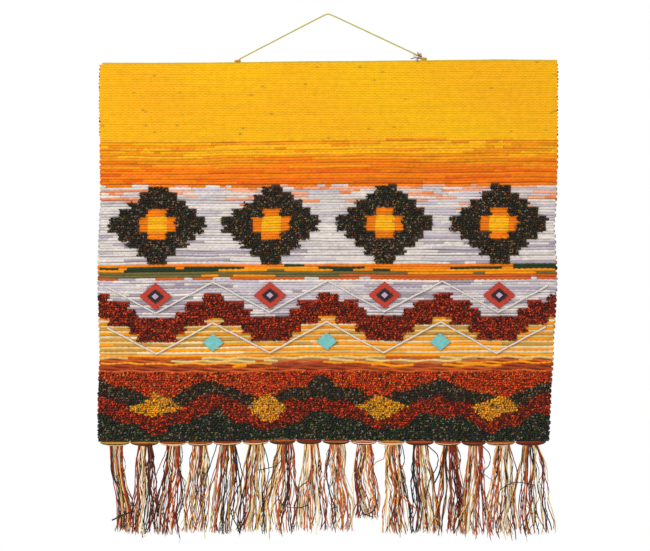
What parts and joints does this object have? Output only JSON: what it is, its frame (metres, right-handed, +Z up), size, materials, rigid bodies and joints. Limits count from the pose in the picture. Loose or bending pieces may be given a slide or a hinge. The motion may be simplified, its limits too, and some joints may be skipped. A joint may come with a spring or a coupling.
{
  "type": "jute tapestry wall hanging",
  "caption": "Jute and wool wall hanging with a plain marigold heading, bands of looped pile and woven stripes, felt patches and a tasselled hem, hung by a thin cord.",
  "frame": {"origin": "the bend of the hanging cord over its nail", "axes": "+Z up, -Y out of the cloth's front, +X to the right as seen from the front"},
  "size_m": [0.6445, 0.0092, 0.7327],
  "materials": {
    "cloth_yarn": "matt",
    "tassel_yarn": "matt",
    "hanging_cord": "matt",
    "knot_thread": "matt",
    "felt_red": "matt",
    "felt_black": "matt",
    "felt_lilac": "matt",
    "felt_blue": "matt",
    "couched_cord": "matt"
  },
  "bodies": {
    "root": {"woven_panel": "cloth_yarn", "tassel_01": "tassel_yarn", "tassel_02": "tassel_yarn", "tassel_03": "tassel_yarn", "tassel_04": "tassel_yarn", "tassel_05": "tassel_yarn", "tassel_06": "tassel_yarn", "tassel_07": "tassel_yarn", "tassel_08": "tassel_yarn", "tassel_09": "tassel_yarn", "tassel_10": "tassel_yarn", "tassel_11": "tassel_yarn", "tassel_12": "tassel_yarn", "tassel_13": "tassel_yarn", "tassel_14": "tassel_yarn", "tassel_15": "tassel_yarn", "tassel_16": "tassel_yarn", "felt_red_1": "felt_red", "felt_black_1": "felt_black", "felt_lilac_1": "felt_lilac", "felt_red_2": "felt_red", "felt_black_2": "felt_black", "felt_lilac_2": "felt_lilac", "felt_red_3": "felt_red", "felt_black_3": "felt_black", "felt_lilac_3": "felt_lilac", "felt_red_4": "felt_red", "felt_black_4": "felt_black", "felt_lilac_4": "felt_lilac", "felt_blue_1": "felt_blue", "felt_blue_2": "felt_blue", "felt_blue_3": "felt_blue", "couched_cord_upper": "couched_cord", "couched_cord_lower": "couched_cord", "hanging_cord": "hanging_cord", "knot_left": "knot_thread", "knot_right": "knot_thread"}
  },
  "joints": []
}
